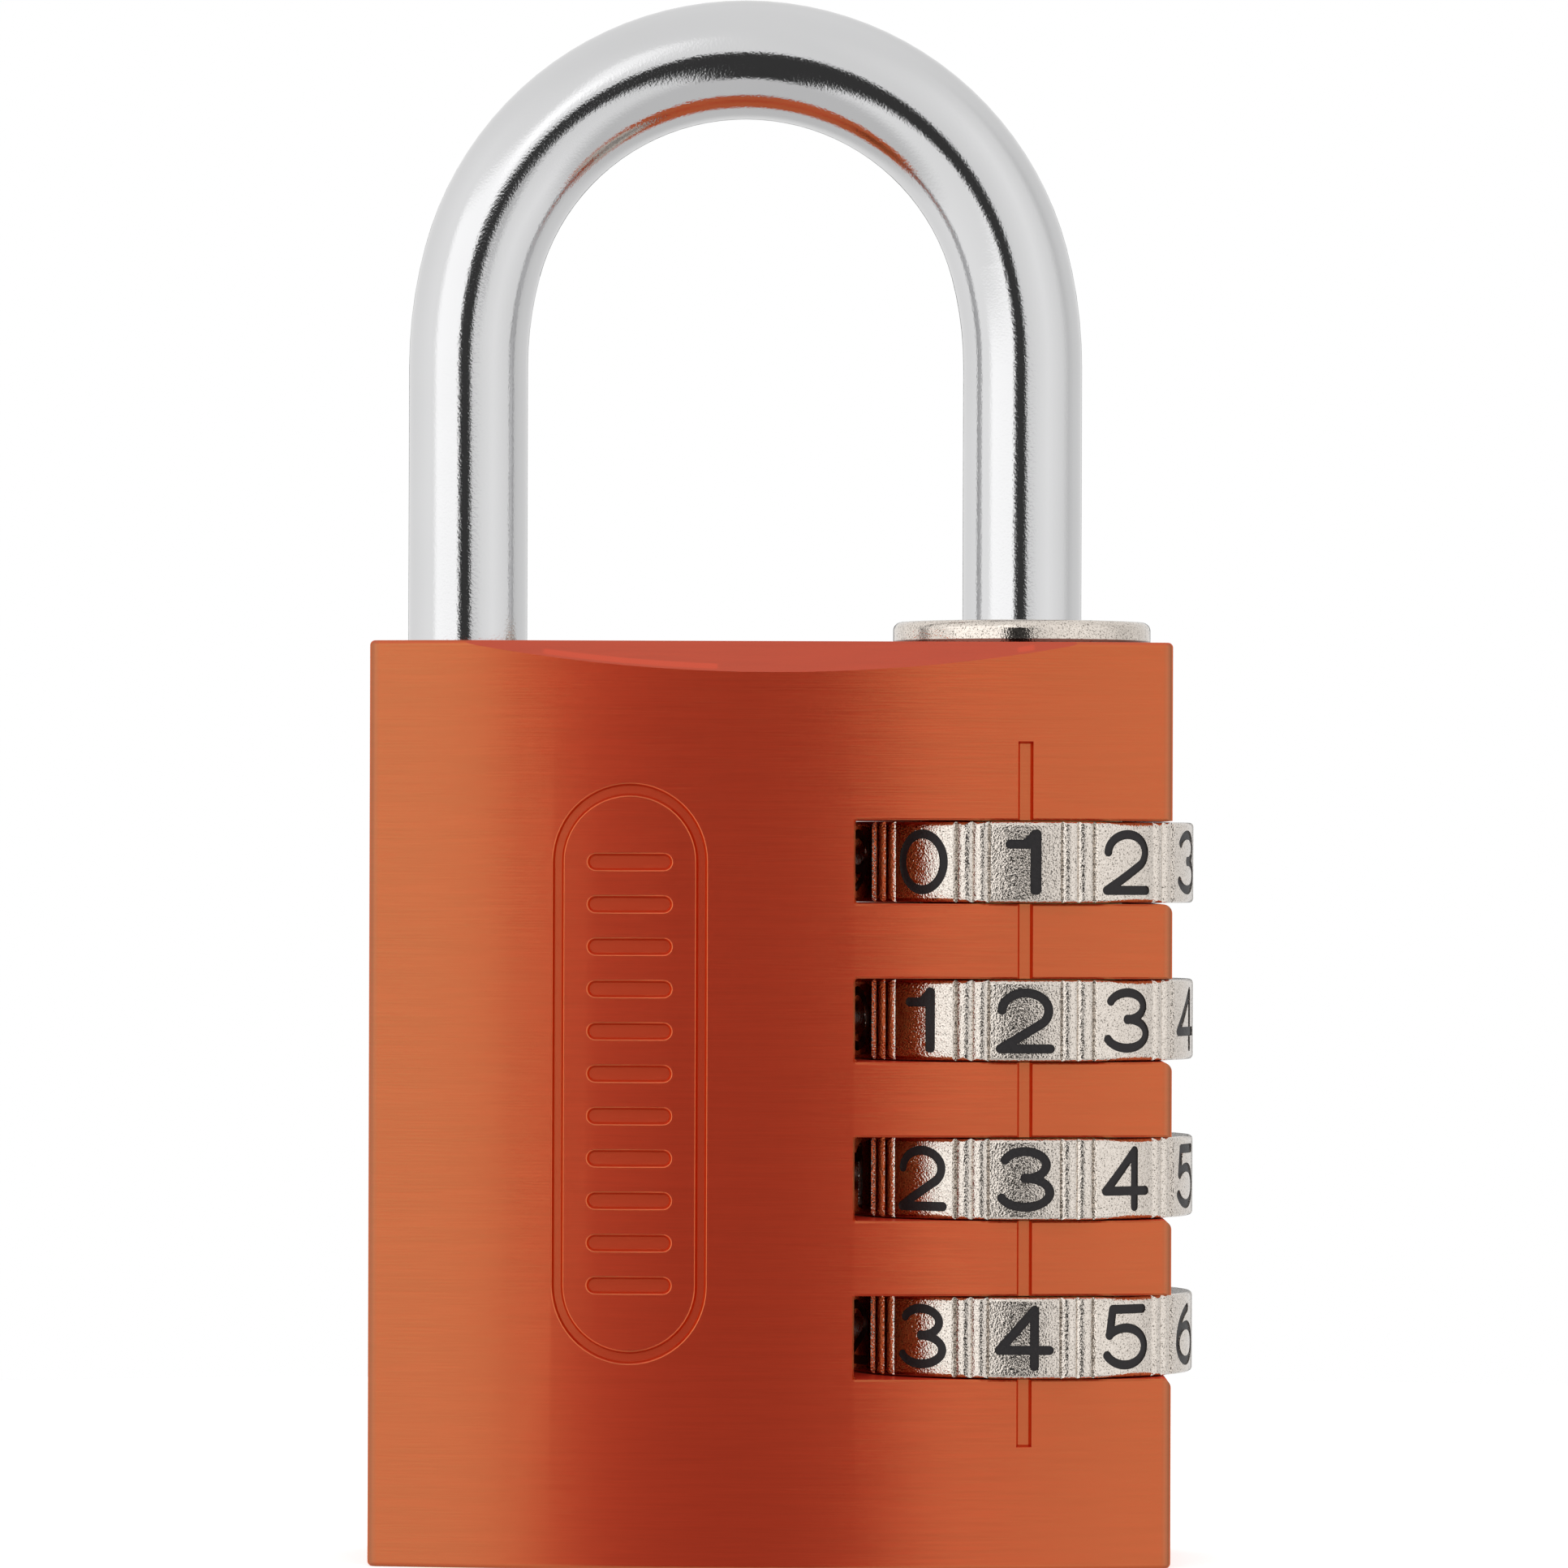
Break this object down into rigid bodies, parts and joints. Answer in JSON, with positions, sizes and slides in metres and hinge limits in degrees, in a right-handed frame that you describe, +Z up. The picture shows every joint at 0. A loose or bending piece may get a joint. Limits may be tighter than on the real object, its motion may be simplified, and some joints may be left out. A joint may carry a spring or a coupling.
{
  "type": "combination padlock",
  "caption": "Combination padlock: brushed anodised body, number dials read at its front edge, and a steel shackle that lifts to free a hasp or chain.",
  "frame": {"origin": "centre of the body's flat underside, midway between its flat sides and between its convex faces", "axes": "+Z up along the shackle's legs, +X to the right towards the dials, -Y out of the front face"},
  "size_m": [0.0413, 0.018, 0.0786],
  "materials": {
    "anodised_body": "orange anodised, finely brushed along the width",
    "chromed_steel": "polished chrome plating",
    "nickel_plate": "satin nickel plating with a fine cast grain",
    "digit_enamel": "matt black paint in the engraved digits",
    "brass_hub": "turned brass",
    "spring_steel": "bright drawn wire and strip"
  },
  "bodies": {
    "case": {"body": "anodised_body", "top_bush": "nickel_plate", "retaining_ring": "spring_steel", "reset_spring": "spring_steel", "detent_spring_1": "spring_steel", "detent_spring_2": "spring_steel", "detent_spring_3": "spring_steel", "detent_spring_4": "spring_steel"},
    "shackle": {"shackle": "chromed_steel"},
    "washer": {"thrust_washer": "spring_steel"},
    "dial_1": {"dial_1": "nickel_plate", "numerals_1": "digit_enamel"},
    "dial_2": {"dial_2": "nickel_plate", "numerals_2": "digit_enamel"},
    "dial_3": {"dial_3": "nickel_plate", "numerals_3": "digit_enamel"},
    "dial_4": {"dial_4": "nickel_plate", "numerals_4": "digit_enamel"},
    "hub_1": {"hub_1": "brass_hub"},
    "hub_2": {"hub_2": "brass_hub"},
    "hub_3": {"hub_3": "brass_hub"},
    "hub_4": {"hub_4": "brass_hub"},
    "ball_1": {"detent_ball_1": "spring_steel"},
    "ball_2": {"detent_ball_2": "spring_steel"},
    "ball_3": {"detent_ball_3": "spring_steel"},
    "ball_4": {"detent_ball_4": "spring_steel"}
  },
  "joints": [
    {"name": "shackle_lift", "type": "slide", "parent": "case", "child": "shackle", "axis": [0, 0, 1], "range_m": [0, 0.006]},
    {"name": "dial_turn_1", "type": "hinge", "parent": "case", "child": "dial_1", "pos_m": [0.01264, 0, 0], "axis": [0, 0, 1], "continuous": true},
    {"name": "dial_turn_2", "type": "hinge", "parent": "case", "child": "dial_2", "pos_m": [0.01264, 0, 0], "axis": [0, 0, 1], "continuous": true},
    {"name": "dial_turn_3", "type": "hinge", "parent": "case", "child": "dial_3", "pos_m": [0.01264, 0, 0], "axis": [0, 0, 1], "continuous": true},
    {"name": "dial_turn_4", "type": "hinge", "parent": "case", "child": "dial_4", "pos_m": [0.01264, 0, 0], "axis": [0, 0, 1], "continuous": true},
    {"name": "hub_press", "type": "slide", "parent": "case", "child": "washer", "axis": [0, 0, -1], "range_m": [0, 0.0021], "stiffness_N_per_m": 400, "springref_m": -0.002, "deforming": ["reset_spring"]},
    {"name": "hub_slide_1", "type": "slide", "parent": "dial_1", "child": "hub_1", "axis": [0, 0, -1], "range_m": [0, 0.0021]},
    {"name": "hub_slide_2", "type": "slide", "parent": "dial_2", "child": "hub_2", "axis": [0, 0, -1], "range_m": [0, 0.0021]},
    {"name": "hub_slide_3", "type": "slide", "parent": "dial_3", "child": "hub_3", "axis": [0, 0, -1], "range_m": [0, 0.0021]},
    {"name": "hub_slide_4", "type": "slide", "parent": "dial_4", "child": "hub_4", "axis": [0, 0, -1], "range_m": [0, 0.0021]},
    {"name": "detent_click_1", "type": "slide", "parent": "case", "child": "ball_1", "axis": [1, 0, 0], "range_m": [0, 0.00011], "stiffness_N_per_m": 100, "deforming": ["detent_spring_1"]},
    {"name": "detent_click_2", "type": "slide", "parent": "case", "child": "ball_2", "axis": [1, 0, 0], "range_m": [0, 0.00011], "stiffness_N_per_m": 100, "deforming": ["detent_spring_2"]},
    {"name": "detent_click_3", "type": "slide", "parent": "case", "child": "ball_3", "axis": [1, 0, 0], "range_m": [0, 0.00011], "stiffness_N_per_m": 100, "deforming": ["detent_spring_3"]},
    {"name": "detent_click_4", "type": "slide", "parent": "case", "child": "ball_4", "axis": [1, 0, 0], "range_m": [0, 0.00011], "stiffness_N_per_m": 100, "deforming": ["detent_spring_4"]}
  ],
  "couplings": [
    {"joint": "hub_slide_1", "follows": "hub_press", "ratio": 1},
    {"joint": "hub_slide_2", "follows": "hub_press", "ratio": 1},
    {"joint": "hub_slide_3", "follows": "hub_press", "ratio": 1},
    {"joint": "hub_slide_4", "follows": "hub_press", "ratio": 1}
  ]
}
